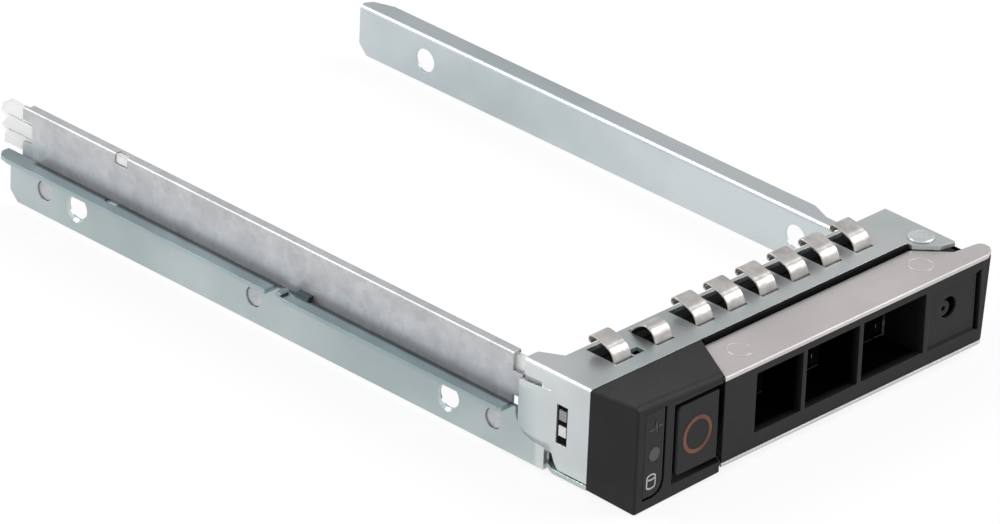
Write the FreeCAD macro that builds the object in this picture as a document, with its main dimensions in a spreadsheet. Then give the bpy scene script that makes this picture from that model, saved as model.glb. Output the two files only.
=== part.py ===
import FreeCAD, Part
import math
import os
import Sketcher

# Carrier for a 2.5-inch drive: a sheet steel box with two arms, a moulded bezel with a release button,
# and a lever handle on a hinge pin. Each piece is drawn from the box's front plane (y = 0 in its sketches)
# and placed by boxFront, so that the finished carrier is centred on the origin. All sizes in millimetres.

doc = FreeCAD.newDocument("DriveCarrier")
sheet = doc.addObject("Spreadsheet::Sheet", "Dims")

sizes = [
    # placement of the front plane
    ("boxFront", -56.05),
    # sheet steel box
    ("sheetThick", 0.7),
    ("boxHalf", 36.0),
    ("boxTop", 16.4),
    ("plateRear", 9.3),
    ("sideRear", 12.7),
    ("sideLow", 1.3),
    ("earLeft", 29.8),
    ("earReach", 4.4),
    ("sideCutBack", 2.2),
    # arms and their flanges
    ("armOuter", 36.7),
    ("armStart", 7.7),
    ("joggleFront", 7.2),
    ("joggleRear", 13.0),
    ("joggleHigh", 13.2),
    ("armLow", 0.7),
    ("armRear", 117.5),
    ("flangeTop", 8.85),
    ("flangeHalf", 39.36),
    ("flangeFront", 14.2),
    ("flangeRear", 118.0),
    # side holes of a 2.5-inch drive
    ("holeFront", 26.76),
    ("holePitch", 76.6),
    ("holeHeight", 4.6),
    ("holeRadius", 1.9),
    ("sinkRadius", 2.55),
    ("stakeRadius", 1.6),
    ("stakeFront", 17.7),
    ("stakeMiddle", 66.05),
    ("stakeRear", 110.1),
    ("stakeHeight", 4.8),
    # window in the left side plate
    ("sideWindowFront", 4.1),
    ("sideWindowRear", 6.2),
    ("sideWindowLow", 5.5),
    ("sideWindowHigh", 11.7),
    # bottom plate
    ("bottomLow", 0.32),
    # spring fingers and the windows they stand in
    ("fingerThick", 0.3),
    ("fingerWide", 3.3),
    ("fingerFirst", -26.2),
    ("fingerThird", -9.4),
    ("fingerPitchWide", 8.4),
    ("fingerPitch", 6.64),
    ("fingerRise", 1.7),
    ("fingerBaseFront", 0.9),
    ("slotFront", 2.7),
    ("slotRear", 8.6),
    ("slotGap", 0.15),
    # cover over the light pipe
    ("coverThick", 0.5),
    ("coverTop", 16.3),
    ("coverWide", 1.5),
    ("coverFront", 14.9),
    ("coverRear", 115.7),
    ("coverLow", 2.0),
    ("pegFront", 93.7),
    ("pegRear", 95.9),
    # light pipe
    ("pipeThick", 0.8),
    ("pipeOuter", 35.15),
    ("pipeRear", 121.3),
    ("pipeFront", 7.2),
    ("pipeLow", 8.5),
    # bezel block
    ("bezelFront", -9.0),
    ("bezelHigh", 16.85),
    ("bezelEndHigh", 15.95),
    ("bezelEndLow", 0.5),
    ("bezelEndFront", -18.4),
    ("bezelEndRear", -13.6),
    ("stripLeft", -34.2),
    ("stripRight", -29.85),
    ("stripLow", 1.5),
    ("stripHigh", 15.4),
    ("stripDeep", 1.4),
    ("stripGroove", 0.5),
    ("dotAcross", -32.1),
    ("dotHigh", 8.5),
    ("dotRadius", 1.1),
    # release button
    ("buttonLeft", -27.4),
    ("buttonRight", -18.9),
    ("buttonLow", 3.0),
    ("buttonHigh", 13.9),
    ("buttonBack", -6.3),
    ("buttonGap", 0.9),
    ("ringAcross", -23.25),
    ("ringHigh", 8.4),
    ("ringRadius", 2.95),
    ("ringWide", 0.65),
    ("ringDeep", 0.45),
    ("pressGap", 0.1),
    ("buttonTravel", 1.5),
    # handle
    ("handleFront", -9.2),
    ("handleBack", -0.8),
    ("handleHigh", 15.6),
    ("handleLow", 1.12),
    ("handleThick", 0.65),
    ("handleLeftFront", -18.2),
    ("handleLeftBack", -13.7),
    ("hookRight", 39.1),
    ("lowHookRight", 37.6),
    ("insertInset", 0.2),
    ("windowLow", 4.1),
    ("windowHigh", 13.7),
    ("windowLeft", -11.4),
    ("windowRight", 24.2),
    ("ribLeft", -1.3),
    ("ribRight", 10.5),
    ("ribThick", 0.8),
    ("recessAcross", 29.5),
    ("recessHigh", 9.5),
    ("recessRadius", 1.7),
    ("rivetRadius", 1.8),
    ("rivetLeft", -10.7),
    ("rivetRight", 27.4),
    ("rivetDeep", -4.8),
    # hinge pin
    ("pinAcross", 32.6),
    ("pinDeep", -0.15),
    ("pinRadius", 1.4),
    ("pinHead", 2.0),
    ("pinHeadHigh", 0.32),
    ("lugRadius", 2.3),
    ("runningGap", 0.05),
]
for row, (alias, value) in enumerate(sizes, start=1):
    sheet.set("A%d" % row, alias)
    sheet.set("B%d" % row, str(value))
    sheet.setAlias("B%d" % row, alias)
doc.recompute()
size = dict(sizes)

names = {"boxFloor": "(bottomLow + sheetThick)", "armInner": "(armOuter - sheetThick)"}
exports = []
cutChecks = []


def bound(text):
    """Writes the sheet's name before every alias in an expression."""
    for short, full in names.items():
        text = text.replace(short, full)
    out = ""
    word = ""
    for ch in text + " ":
        if ch.isalnum():
            word += ch
            continue
        if word in size:
            word = "Dims." + word
        out += word + ch
        word = ""
    return out.strip()


def number(text):
    """The value of an expression, used to start a sketch near its solution."""
    for short, full in names.items():
        text = text.replace(short, full)
    out = ""
    word = ""
    for ch in text + " ":
        if ch.isalnum():
            word += ch
            continue
        if word in size:
            word = "(%r)" % size[word]
        out += word + ch
        word = ""
    spot = sheet.evalExpression(out.strip()) if hasattr(sheet, "evalExpression") else 0
    return float(spot)


def newBody(label):
    body = doc.addObject("PartDesign::Body", label)
    body.Label = label
    body.setExpression("Placement.Base.y", "Dims.boxFront")
    exports.append(body)
    return body


def newSketch(body, name, role, offset, shapes):
    """A sketch on one of the body's own planes; each corner is held by expressions."""
    sketch = body.newObject("Sketcher::SketchObject", name)
    plane = [f for f in body.Origin.OriginFeatures if f.Role == role][0]
    sketch.AttachmentSupport = [(plane, "")]
    sketch.MapMode = "FlatFace"
    sketch.setExpression("AttachmentOffset.Base.z", bound(offset))
    for shape in shapes:
        if shape[0] == "circle":
            centre = FreeCAD.Vector(number(shape[1]), number(shape[2]), 0)
            circle = Part.Circle(centre, FreeCAD.Vector(0, 0, 1), number(shape[3]))
            geo = sketch.addGeometry(circle, False)
            holds = [("DistanceX", shape[1], 3), ("DistanceY", shape[2], 3)]
            for kind, text, spot in holds:
                index = sketch.addConstraint(Sketcher.Constraint(kind, -1, 1, geo, spot, number(text)))
                sketch.setExpression("Constraints[%d]" % index, bound(text))
            index = sketch.addConstraint(Sketcher.Constraint("Radius", geo, number(shape[3])))
            sketch.setExpression("Constraints[%d]" % index, bound(shape[3]))
            continue
        if shape[0] == "rect":
            left, right, low, high = shape[1:]
            corners = [(left, low), (right, low), (right, high), (left, high)]
        else:
            corners = shape[1]
        spots = [(number(a), number(b)) for a, b in corners]
        first = sketch.GeometryCount
        count = len(spots)
        for i in range(count):
            start = FreeCAD.Vector(spots[i][0], spots[i][1], 0)
            end = FreeCAD.Vector(spots[(i + 1) % count][0], spots[(i + 1) % count][1], 0)
            sketch.addGeometry(Part.LineSegment(start, end), False)
        for i in range(count):
            joint = Sketcher.Constraint("Coincident", first + i, 2, first + (i + 1) % count, 1)
            sketch.addConstraint(joint)
        for i, (across, up) in enumerate(corners):
            for kind, text in (("DistanceX", across), ("DistanceY", up)):
                hold = Sketcher.Constraint(kind, -1, 1, first + i, 1, number(text))
                index = sketch.addConstraint(hold)
                sketch.setExpression("Constraints[%d]" % index, bound(text))
    return sketch


planes = {"X": "YZ_Plane", "Y": "XZ_Plane", "Z": "XY_Plane"}


def pad(body, name, axis, low, high, shapes):
    """Solid from low to high along an axis. The XZ plane faces -Y, so there it starts at high."""
    offset = "-(%s)" % high if axis == "Y" else low
    sketch = newSketch(body, name + "Sketch", planes[axis], offset, shapes)
    feature = body.newObject("PartDesign::Pad", name)
    feature.Profile = sketch
    feature.setExpression("Length", bound("(%s) - (%s)" % (high, low)))
    doc.recompute()
    return feature


def pocket(body, name, axis, low, high, shapes):
    """Cut from low to high along an axis."""
    before = body.Shape.Volume
    offset = "-(%s)" % low if axis == "Y" else high
    sketch = newSketch(body, name + "Sketch", planes[axis], offset, shapes)
    feature = body.newObject("PartDesign::Pocket", name)
    feature.Profile = sketch
    feature.setExpression("Length", bound("(%s) - (%s)" % (high, low)))
    doc.recompute()
    cutChecks.append((body.Label + "." + name, before - body.Shape.Volume))
    return feature


def dress(body, kind, name, amount, test):
    """Fillet or chamfer on the edges of the body's last feature that pass a test."""
    tip = body.Tip
    picked = []
    for index, edge in enumerate(tip.Shape.Edges, start=1):
        if test(edge):
            picked.append("Edge%d" % index)
    if not picked:
        raise RuntimeError("no edge found for " + body.Label + "." + name)
    feature = body.newObject("PartDesign::" + kind, name)
    feature.Base = (tip, picked)
    feature.setExpression("Radius" if kind == "Fillet" else "Size", bound(amount))
    doc.recompute()
    return feature


def along(edge, axis):
    """True for a straight edge that runs along X, Y or Z."""
    if edge.Curve.TypeId != "Part::GeomLine":
        return False
    run = edge.Vertexes[-1].Point - edge.Vertexes[0].Point
    if run.Length < 1e-6:
        return False
    return abs(abs(getattr(run, axis)) / run.Length - 1) < 1e-4


def near(edge, **wanted):
    """True when the edge's middle lies at the given coordinates."""
    middle = edge.BoundBox.Center
    return all(abs(getattr(middle, axis) - value) < 0.02 for axis, value in wanted.items())


# ---------------------------------------------------------------- folded frame
frame = newBody("carrier_frame")
pad(frame, "TopPlate", "Z", "boxTop - sheetThick", "boxTop", [("poly", [
    ("-boxHalf", "0"), ("earLeft", "0"), ("earLeft", "-0.9"), ("earLeft + 2.8", "-earReach + 0.6"),
    ("boxHalf - 0.8", "-earReach"), ("boxHalf", "-earReach + 0.8"), ("boxHalf", "plateRear"),
    ("-boxHalf + 4.6", "plateRear"), ("-boxHalf + 2.6", "sideRear"), ("-boxHalf", "sideRear")])])
pad(frame, "LeftSide", "X", "-boxHalf", "-boxHalf + sheetThick", [("poly", [
    ("0", "sideLow"), ("5.6", "sideLow"), ("6.4", "2.3"), ("6.9", "3.5"), ("9.3", "3.5"), ("9.3", "13.8"),
    ("sideRear", "13.8"), ("sideRear", "boxTop"), ("0", "boxTop")])])
pad(frame, "LeftArm", "X", "-armOuter", "-armInner", [("poly", [
    ("armStart", "armLow"), ("armRear - 1.6", "armLow"), ("armRear", "armLow + 1.6"),
    ("armRear", "flangeTop"), ("joggleRear + 0.5", "flangeTop"), ("joggleRear + 0.5", "7.6"),
    ("joggleRear", "6.2"), ("joggleRear - 1.2", "5.0"), ("joggleRear - 3.0", "4.4"),
    ("armStart", "4.2")])])
# the sheet steps outwards from the box to the arm
pad(frame, "Joggle", "Z", "4.0", "joggleHigh", [("poly", [
    ("-boxHalf", "joggleFront"), ("-armOuter", "joggleRear"), ("-armInner", "joggleRear"),
    ("-boxHalf + sheetThick", "joggleFront")])])
pad(frame, "RightSide", "X", "boxHalf - sheetThick", "boxHalf", [("poly", [
    ("sideCutBack", "sideLow"), ("6.4", "sideLow"), ("6.9", "3.5"), ("9.3", "3.5"), ("9.3", "boxTop"),
    ("0", "boxTop"), ("0", "boxTop - sheetThick"), ("sideCutBack", "boxTop - sheetThick - 1")])])
pad(frame, "RightArm", "X", "armInner", "armOuter", [("poly", [
    ("armStart", "armLow"), ("armRear - 1.6", "armLow"), ("armRear", "armLow + 1.6"),
    ("armRear", "flangeTop"), ("9.3", "flangeTop"), ("9.3", "13.8"), ("8.5", "13.0"),
    ("8.5", "4.6"), ("armStart", "3.6")])])
pad(frame, "LeftFlange", "Z", "flangeTop - sheetThick", "flangeTop", [("poly", [
    ("-armInner", "flangeFront"), ("-armInner", "flangeRear"), ("-flangeHalf + 1.4", "flangeRear"),
    ("-flangeHalf + 0.4", "flangeRear - 0.8"), ("-flangeHalf", "flangeRear - 2.4"),
    ("-flangeHalf", "61.2"), ("-flangeHalf + 2.4", "61.2"), ("-flangeHalf + 2.4", "57.6"),
    ("-flangeHalf", "57.6"), ("-flangeHalf", "flangeFront + 0.5"),
    ("-flangeHalf + 0.5", "flangeFront")])])
pad(frame, "RightFlange", "Z", "flangeTop - sheetThick", "flangeTop", [("poly", [
    ("armInner", "11.5"), ("armOuter + 1.2", "11.5"), ("armOuter + 1.2", "22.6"), ("flangeHalf", "26.2"),
    ("flangeHalf", "flangeRear - 4.6"), ("flangeHalf - 1.2", "flangeRear - 1.2"),
    ("flangeHalf - 2.4", "flangeRear - 0.5"), ("armInner", "flangeRear - 0.5")])])
# raised tab and small curled hook beside the notch in the left flange
pad(frame, "FlangeTab", "Y", "54.6", "57.2", [("poly", [
    ("-armOuter - 0.6", "flangeTop - 0.1"), ("-armInner", "flangeTop - 0.1"),
    ("-armInner", "flangeTop + 0.5"), ("-armOuter - 0.2", "flangeTop + 0.5")])])
pad(frame, "FlangeHook", "X", "-flangeHalf + 0.1", "-flangeHalf + 1.9", [("poly", [
    ("56.6", "flangeTop - 0.3"), ("58.6", "flangeTop - 0.3"), ("59.2", "flangeTop + 0.1"),
    ("59.0", "flangeTop + 0.6"), ("58.2", "flangeTop + 0.7"), ("57.9", "flangeTop + 0.4"),
    ("58.4", "flangeTop + 0.1"), ("56.6", "flangeTop")])])
dress(frame, "Fillet", "BoxFolds", "0.9", lambda e: along(e, "y") and e.Length > 3 and (
    near(e, x=-size["boxHalf"], z=size["boxTop"]) or near(e, x=size["boxHalf"], z=size["boxTop"])))
dress(frame, "Fillet", "LeftArmFold", "0.9", lambda e: along(e, "y") and e.Length > 20
      and near(e, x=-number("armInner"), z=size["flangeTop"]))
dress(frame, "Fillet", "RightArmFold", "0.9", lambda e: along(e, "y") and e.Length > 20
      and near(e, x=number("armInner"), z=size["flangeTop"]))
holeSpots = [("holeFront", "holeHeight"), ("holeFront + holePitch", "holeHeight")]
stakeSpots = [("stakeFront", "stakeHeight"), ("stakeMiddle", "stakeHeight"), ("stakeRear", "stakeHeight")]
pocket(frame, "LeftHoles", "X", "-armOuter - 0.1", "-armInner + 0.1",
       [("circle", a, b, "holeRadius") for a, b in holeSpots]
       + [("circle", a, b, "stakeRadius") for a, b in stakeSpots])
pocket(frame, "RightHoles", "X", "armInner - 0.1", "armOuter + 0.1",
       [("circle", a, b, "holeRadius") for a, b in holeSpots])


def sinkEdge(edge):
    if edge.Curve.TypeId != "Part::GeomCircle" or abs(edge.Curve.Radius - size["holeRadius"]) > 1e-3:
        return False
    return abs(abs(edge.BoundBox.Center.x) - size["armOuter"]) < 0.02


dress(frame, "Chamfer", "Countersinks", "0.45", sinkEdge)
fingerSpots = ["fingerFirst", "fingerFirst + fingerPitchWide"]
fingerSpots += ["fingerThird + %d * fingerPitch" % i for i in range(6)]
slotHalf = "(fingerWide / 2 + slotGap)"
slots = [("rect", "(%s) - %s" % (c, slotHalf), "(%s) + %s" % (c, slotHalf), "slotFront", "slotRear")
         for c in fingerSpots]
slots.append(("rect", "fingerFirst + 2.2", "fingerFirst + 4.3", "2.9", "4.5"))
pocket(frame, "FingerSlots", "Z", "boxTop - sheetThick - 0.1", "boxTop + 0.1", slots)
pocket(frame, "SideWindow", "X", "-boxHalf - 0.1", "-boxHalf + sheetThick + 0.1",
       [("rect", "sideWindowFront", "sideWindowRear", "sideWindowLow", "sideWindowHigh")])
pocket(frame, "PinHole", "Z", "boxTop - sheetThick - 0.1", "boxTop + 0.1",
       [("circle", "pinAcross", "pinDeep", "pinRadius")])
pocket(frame, "FlangeNotch", "Z", "flangeTop - sheetThick - 0.1", "flangeTop + 0.1",
       [("rect", "-armOuter - 0.9", "-armOuter + 0.05", "94.2", "96.6")])

# ---------------------------------------------------------------- bottom plate
bottom = newBody("bottom_plate")
pad(bottom, "Plate", "Z", "bottomLow", "boxFloor", [("poly", [
    ("-boxHalf", "0"), ("earLeft", "0"), ("earLeft + 2.8", "-earReach + 0.6"),
    ("boxHalf - 0.8", "-earReach"), ("boxHalf", "-earReach + 0.8"), ("boxHalf", "6.4"),
    ("boxHalf - 1.2", "plateRear"), ("-boxHalf + 1.2", "plateRear"), ("-boxHalf", "6.6")])])
pad(bottom, "RearLip", "Y", "plateRear - sheetThick", "plateRear", [
    ("rect", "-boxHalf + 1.4", "boxHalf - 1.4", "boxFloor - 0.01", "3.4")])
dress(bottom, "Fillet", "LipFold", "0.5", lambda e: along(e, "x") and e.Length > 30
      and near(e, y=size["plateRear"], z=size["bottomLow"]))
pocket(bottom, "PinHole", "Z", "bottomLow - 0.1", "boxFloor + 0.1",
       [("circle", "pinAcross", "pinDeep", "pinRadius")])

# ---------------------------------------------------------------- spring fingers
springs = newBody("emi_spring_strip")
pad(springs, "Base", "Z", "boxTop - sheetThick - fingerThick", "boxTop - sheetThick", [
    ("rect", "fingerFirst - 4", "fingerThird + 5 * fingerPitch + 4", "fingerBaseFront", "slotFront + 0.4")])


def offset(points, distance):
    """The same line of points, moved sideways by a distance, as expressions."""
    spots = [(number(a), number(b)) for a, b in points]
    moved = []
    for i, (a, b) in enumerate(points):
        before = spots[max(i - 1, 0)]
        after = spots[min(i + 1, len(spots) - 1)]
        run = after[0] - before[0]
        rise = after[1] - before[1]
        span = math.hypot(run, rise)
        moved.append(("%s + %.6f * %s" % (a, rise / span, distance), "%s - %.6f * %s" % (b, run / span, distance)))
    return moved


def finger(name, centre, line):
    outline = line + list(reversed(offset(line, "fingerThick")))
    return pad(springs, name, "X", "(%s) - fingerWide / 2" % centre, "(%s) + fingerWide / 2" % centre,
               [("poly", outline)])


# a finger rises from its slot's front, bows back and closes round the plate's rear edge
rising = [("slotFront + 0.12", "boxTop - 1.05"), ("slotFront + 0.15", "boxTop - 0.5"),
          ("slotFront + 0.3", "boxTop + fingerRise - 1.6"), ("slotFront + 0.65", "boxTop + fingerRise - 0.95"),
          ("slotFront + 1.25", "boxTop + fingerRise - 0.45"), ("slotFront + 2.05", "boxTop + fingerRise - 0.12"),
          ("slotFront + 2.95", "boxTop + fingerRise")]
closing = [("slotFront + 4.0", "boxTop + fingerRise - 0.06"), ("slotRear - 0.5", "boxTop + fingerRise - 0.28"),
           ("plateRear + 0.1", "boxTop + fingerRise - 0.7"), ("plateRear + 0.6", "boxTop + fingerRise - 1.15"),
           ("plateRear + 0.75", "boxTop - 0.1"), ("plateRear + 0.65", "boxTop - 1.2")]
dipping = [("slotFront + 3.6", "boxTop + fingerRise - 0.2"), ("slotFront + 4.5", "boxTop + fingerRise - 0.85"),
           ("slotRear - 0.7", "boxTop - 0.1"), ("slotRear - 0.5", "boxTop - 0.9")]


def repeat(body, name, feature, pitch, count):
    pattern = body.newObject("PartDesign::LinearPattern", name)
    pattern.Originals = [feature]
    direction = [f for f in body.Origin.OriginFeatures if f.Role == "X_Axis"][0]
    pattern.Direction = (direction, [""])
    pattern.setExpression("Length", bound("%s * %d" % (pitch, count - 1)))
    pattern.Occurrences = count
    body.Tip = pattern
    doc.recompute()
    return pattern


finger("FirstFinger", "fingerFirst", rising + closing)
finger("SecondFinger", "fingerFirst + fingerPitchWide", rising + dipping)
repeat(springs, "Fingers", finger("ThirdFinger", "fingerThird", rising + closing), "fingerPitch", 6)

# ---------------------------------------------------------------- cover over the light pipe
cover = newBody("light_pipe_cover")
pad(cover, "Wall", "X", "-armInner", "-armInner + coverThick", [("poly", [
    ("coverFront", "coverLow"), ("coverRear - 1", "coverLow"), ("coverRear", "coverLow + 1"),
    ("coverRear", "10.6"), ("coverRear - 2", "10.8"), ("coverRear - 2", "14.3"), ("coverRear", "14.3"),
    ("coverRear", "coverTop"), ("coverFront", "coverTop"), ("coverFront", "13.4"), ("13.0", "13.4"),
    ("13.0", "10.1"), ("13.6", "9.7"), ("coverFront", "9.7")])])
pad(cover, "Lip", "Z", "coverTop - coverThick", "coverTop", [
    ("rect", "-armInner", "-armInner + coverWide", "coverFront", "coverRear - 0.8")])
pad(cover, "Stakes", "X", "-armInner - 0.4", "-armInner + 0.05",
    [("circle", a, b, "stakeRadius - pressGap / 2") for a, b in stakeSpots])
dress(cover, "Fillet", "Fold", "0.4", lambda e: along(e, "y") and e.Length > 20
      and near(e, x=-number("armInner"), z=size["coverTop"]))
pocket(cover, "ScrewHoles", "X", "-armInner - 0.1", "-armInner + coverThick + 0.1",
       [("circle", a, b, "sinkRadius + 0.35") for a, b in holeSpots])
pocket(cover, "PegSlot", "X", "-armInner - 0.1", "-armInner + 1.0",
       [("rect", "pegFront - 0.15", "pegRear + 0.15", "14.6", "coverTop + 0.1")])

# ---------------------------------------------------------------- light pipe
pipe = newBody("light_pipe")
pad(pipe, "Strip", "X", "-pipeOuter", "-pipeOuter + pipeThick", [("poly", [
    ("pipeFront", "pipeLow + 0.6"), ("117.6", "pipeLow"), ("pipeRear - 0.8", "pipeLow"),
    ("pipeRear - 0.9", "10.1"), ("pipeRear", "10.9"), ("pipeRear - 1", "12.3"), ("pipeRear", "13.2"),
    ("pipeRear - 0.4", "14.9"), ("pipeRear - 1.6", "15.6"), ("pipeFront", "15.6")])])
pad(pipe, "Peg", "X", "-pipeOuter - 0.7", "-pipeOuter + 0.1",
    [("rect", "pegFront", "pegRear", "14.75", "16.1")])
for index, height in enumerate(("10.9", "13.3")):
    pocket(pipe, "Groove%d" % index, "X", "-pipeOuter - 0.1", "-pipeOuter + 0.3",
           [("rect", "pipeFront - 0.1", "pipeRear - 1.6", height + " - 0.12", height + " + 0.12")])

# ---------------------------------------------------------------- bezel
bezel = newBody("bezel")
rearSketch = newSketch(bezel, "RearOutline", "XZ_Plane", "0", [("poly", [
    ("-boxHalf", "0.45"), ("bezelEndRear", "0.45"), ("bezelEndRear", "boxTop - 0.1"),
    ("-boxHalf", "boxTop - 0.1")])])
frontSketch = newSketch(bezel, "FrontOutline", "XZ_Plane", "-bezelFront", [("poly", [
    ("-boxHalf + 0.3", "0"), ("bezelEndFront", "bezelEndLow"), ("bezelEndFront", "bezelEndHigh"),
    ("-boxHalf + 0.3", "bezelHigh")])])
block = bezel.newObject("PartDesign::AdditiveLoft", "Block")
block.Profile = rearSketch
block.Sections = [frontSketch]
block.Ruled = True
doc.recompute()
dress(bezel, "Fillet", "TopFrontEdge", "1.3", lambda e: e.Length > 3
      and abs(e.BoundBox.YMin - size["bezelFront"]) < 0.01
      and abs(e.BoundBox.YMax - size["bezelFront"]) < 0.01 and e.BoundBox.Center.z > 12)
dress(bezel, "Fillet", "SideFrontEdge", "0.35", lambda e: e.Length > 3
      and abs(e.BoundBox.YMin - size["bezelFront"]) < 0.01
      and abs(e.BoundBox.YMax - size["bezelFront"]) < 0.01 and e.BoundBox.Center.x < -30)
pocket(bezel, "Hollow", "Y", "-5.0", "0.1", [("rect", "-34.6", "-15.6", "2.0", "14.4")])
pocket(bezel, "NoseWay", "Y", "-5.0", "0.1", [("rect", "-16.0", "bezelEndRear + 0.3", "6.6", "13.2")])
pocket(bezel, "ButtonWay", "Y", "bezelFront - 0.1", "-4.9", [
    ("rect", "buttonLeft - buttonGap", "buttonRight + 2.6", "buttonLow - buttonGap",
     "buttonHigh + buttonGap")])
pocket(bezel, "StripSeat", "Y", "bezelFront - 0.1", "bezelFront + stripDeep", [("poly", [
    ("stripLeft", "stripLow"), ("stripRight - 2.2", "stripLow"), ("stripRight - 1.0", "stripLow + 0.35"),
    ("stripRight - 0.3", "stripLow + 1.1"), ("stripRight", "stripLow + 2.3"),
    ("stripRight", "stripHigh"), ("stripLeft", "stripHigh")])])
pocket(bezel, "GuideWay", "Y", "bezelFront", "-4.9", [
    ("rect", "-33.2", "-31.0", "7.0", "10.2")])
pad(bezel, "TopTongue", "Z", "14.6", "boxTop - sheetThick - fingerThick - 0.1", [
    ("rect", "-34.4", "-15.0", "-0.5", "4.2")])
pad(bezel, "LowTongue", "Z", "boxFloor", "2.2", [
    ("rect", "-35.1", "-15.0", "-0.5", "4.6")])

# ---------------------------------------------------------------- vent wall behind the handle
vent = newBody("vent_wall")
pad(vent, "Wall", "Y", "-0.45", "0.55", [
    ("rect", "bezelEndRear + 0.2", "pinAcross - lugRadius - 0.6", "boxFloor", "boxTop - sheetThick")])
pad(vent, "Lip", "Y", "-0.5", "-0.02", [
    ("rect", "bezelEndRear + 0.2", "earLeft - 0.2", "14.9", "boxTop - 0.12")])
pad(vent, "Shelf", "Z", "13.5", "14.3", [
    ("rect", "-30.4", "pinAcross - lugRadius - 0.9", "0.2", "8.7")])
ventHoles = []
for column in range(11):
    for line in range(3):
        left = "%g" % (-10.6 + column * 3.4)
        low = "%g" % (4.2 + line * 3.4)
        ventHoles.append(("rect", left, left + " + 1.2", low, low + " + 1.4"))
pocket(vent, "Vents", "Y", "-0.55", "0.65", ventHoles)

# ---------------------------------------------------------------- status strip
lens = newBody("status_lens")
pad(lens, "Strip", "Y", "bezelFront - 0.02", "bezelFront + stripDeep", [("poly", [
    ("stripLeft + 0.04", "stripLow + stripGroove"), ("stripRight - 2.35", "stripLow + stripGroove"),
    ("stripRight - 1.4", "stripLow + stripGroove + 0.3"), ("stripRight - 0.8", "stripLow + stripGroove + 0.95"),
    ("stripRight - stripGroove", "stripLow + stripGroove + 1.9"),
    ("stripRight - stripGroove", "stripHigh - 0.04"), ("stripLeft + 0.04", "stripHigh - 0.04")])])
pocket(lens, "DotHole", "Y", "bezelFront - 0.1", "bezelFront + stripDeep + 0.1",
       [("circle", "dotAcross", "dotHigh", "dotRadius")])
dot = newBody("status_dot")
pad(dot, "Dot", "Y", "bezelFront - 0.04", "bezelFront + stripDeep",
    [("circle", "dotAcross", "dotHigh", "dotRadius - 0.02")])
holder = newBody("pipe_holder")
pad(holder, "Block", "X", "-boxHalf + sheetThick", "-33.6", [("rect", "3.2", "7.0", "4.6", "12.4")])
pad(holder, "Boss", "X", "-boxHalf + 0.3", "-boxHalf + sheetThick + 0.05", [
    ("rect", "sideWindowFront + 0.1", "sideWindowRear - 0.1", "sideWindowLow + 0.1", "sideWindowHigh - 0.1")])
guideWindows = [("rect", "4.4", "5.9", "6.7", "8.4"), ("rect", "4.4", "5.9", "9.2", "10.9")]
pocket(holder, "GuideWindows", "X", "-boxHalf - 0.1", "-33.5", guideWindows)

# ---------------------------------------------------------------- release button
button = newBody("release_button")
pad(button, "Face", "Y", "bezelFront + 0.1", "buttonBack", [
    ("rect", "buttonLeft", "buttonRight", "buttonLow", "buttonHigh")])
dress(button, "Fillet", "FaceCorners", "0.8", lambda e: along(e, "y")
      and near(e, x=size["buttonLeft"]))
dress(button, "Fillet", "FaceEdge", "0.3", lambda e: abs(e.BoundBox.YMax - size["bezelFront"] - 0.1) < 0.01)
pad(button, "Stem", "Z", "6.2", "10.8", [("poly", [
    ("-26.0", "buttonBack - 0.1"), ("-21.0", "buttonBack - 0.1"), ("-21.0", "-0.6"), ("-22.1", "-0.6"),
    ("-26.0", "-4.5")])])
pocket(button, "RingSeat", "Y", "bezelFront", "bezelFront + 0.1 + ringDeep",
       [("circle", "ringAcross", "ringHigh", "ringRadius"),
        ("circle", "ringAcross", "ringHigh", "ringRadius - ringWide")])
ring = newBody("button_ring")
pad(ring, "Ring", "Y", "bezelFront + 0.05", "bezelFront + 0.1 + ringDeep",
    [("circle", "ringAcross", "ringHigh", "ringRadius - 0.02"),
     ("circle", "ringAcross", "ringHigh", "ringRadius - ringWide + 0.02")])

# ---------------------------------------------------------------- latch
slider = newBody("latch_slider")
pad(slider, "RampBlock", "Z", "6.2", "12.8", [("poly", [
    ("-29.4", "-4.6"), ("-26.2", "-4.6"), ("-22.2", "-0.6"), ("-29.4", "-0.6")])])
pad(slider, "Bar", "Z", "11.2", "12.8", [("rect", "-29.4", "-17.0", "-4.6", "-2.6")])
pad(slider, "Nose", "Z", "7.0", "12.8", [("poly", [
    ("-18.9", "-4.6"), ("-14.2", "-4.6"), ("-13.2", "-3.6"), ("-13.2", "-3.0"), ("-18.9", "-3.0")])])
spring = newBody("latch_spring")
pad(spring, "Leaf", "Z", "10.4", "12.6", [("poly", [
    ("-34.6", "-4.4"), ("-34.3", "-4.4"), ("-29.4", "-2.8"), ("-29.4", "-2.4"), ("-34.3", "-0.8"),
    ("-34.6", "-0.8"), ("-34.6", "-1.0"), ("-29.9", "-2.6"), ("-34.6", "-4.2")])])

# ---------------------------------------------------------------- handle
outline = [
    ("handleLeftFront", "handleFront"), ("hookRight - 2.1", "handleFront"),
    ("hookRight - 0.7", "handleFront + 0.6"), ("hookRight", "handleFront + 1.6"),
    ("hookRight", "handleFront + 2.6"), ("hookRight - 0.5", "handleFront + 3.2"),
    ("hookRight - 1.3", "handleFront + 3.4"), ("33.9", "-5.4"), ("29.4", "handleBack"),
    ("handleLeftBack", "handleBack")]
lowOutline = [
    ("handleLeftFront", "handleFront"), ("lowHookRight - 1.4", "handleFront"),
    ("lowHookRight - 0.4", "handleFront + 0.5"), ("lowHookRight", "handleFront + 1.4"),
    ("lowHookRight", "handleFront + 2.4"), ("lowHookRight - 0.8", "handleFront + 3.2"),
    ("33.9", "-5.4"), ("29.4", "handleBack"), ("handleLeftBack", "handleBack")]
plate = newBody("handle_plate")
pad(plate, "TopPlate", "Z", "handleHigh - handleThick", "handleHigh", [("poly", outline)])
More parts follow.
